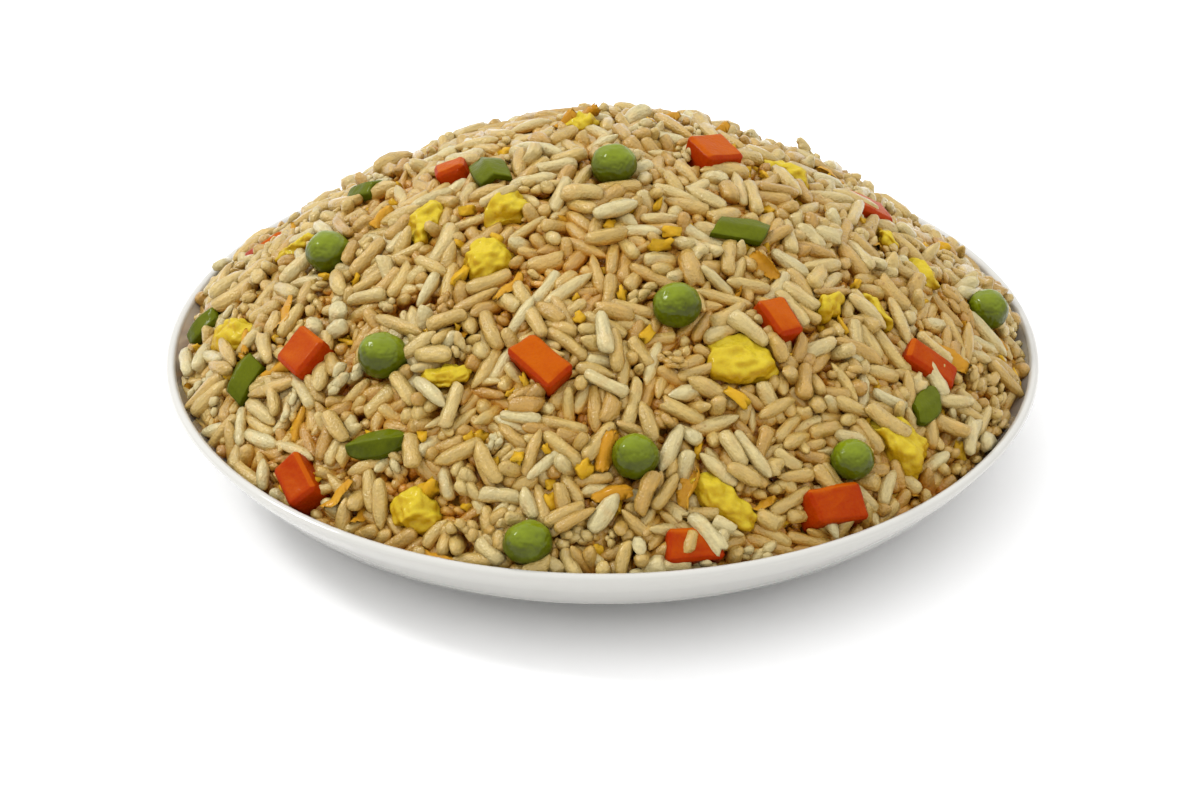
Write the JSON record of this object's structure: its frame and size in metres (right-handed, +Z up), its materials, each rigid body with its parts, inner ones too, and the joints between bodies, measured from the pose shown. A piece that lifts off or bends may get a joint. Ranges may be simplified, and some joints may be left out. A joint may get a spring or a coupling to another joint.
{
  "type": "fried rice plate",
  "caption": "Fried rice heaped in a dome on a round white side plate, dotted with green peas, diced carrot, sliced scallion and bits of scrambled egg.",
  "frame": {"origin": "on the table, under the middle of the plate", "axes": "+Z up; +X to the right and -Y towards the viewer of the side shown"},
  "size_m": [0.1766, 0.1766, 0.0699],
  "materials": {
    "glaze": "glossy white glaze",
    "rice": "moist fried rice, tan",
    "pea": "moist green skin",
    "carrot": "moist cut carrot",
    "scallion": "waxy green leaf",
    "egg": "soft scrambled egg"
  },
  "bodies": {
    "root": {"plate": "glaze", "rice_heap": "rice", "pea_1": "pea", "pea_2": "pea", "pea_3": "pea", "pea_4": "pea", "pea_5": "pea", "pea_6": "pea", "pea_7": "pea", "pea_8": "pea", "pea_9": "pea", "pea_10": "pea", "pea_11": "pea", "pea_12": "pea", "carrot_1": "carrot", "carrot_2": "carrot", "carrot_3": "carrot", "carrot_4": "carrot", "carrot_5": "carrot", "carrot_6": "carrot", "carrot_7": "carrot", "carrot_8": "carrot", "carrot_9": "carrot", "carrot_10": "carrot", "carrot_11": "carrot", "carrot_12": "carrot", "carrot_13": "carrot", "carrot_14": "carrot", "carrot_15": "carrot", "scallion_1": "scallion", "scallion_2": "scallion", "scallion_3": "scallion", "scallion_4": "scallion", "scallion_5": "scallion", "scallion_6": "scallion", "scallion_7": "scallion", "scallion_8": "scallion", "scallion_9": "scallion", "scallion_10": "scallion", "egg_1": "egg", "egg_2": "egg", "egg_3": "egg", "egg_4": "egg", "egg_5": "egg", "egg_6": "egg", "egg_7": "egg", "egg_8": "egg", "egg_9": "egg", "egg_10": "egg", "egg_11": "egg", "egg_12": "egg", "egg_13": "egg", "egg_14": "egg", "egg_15": "egg", "egg_16": "egg", "egg_17": "egg", "egg_18": "egg", "egg_19": "egg", "egg_20": "egg"}
  },
  "joints": []
}
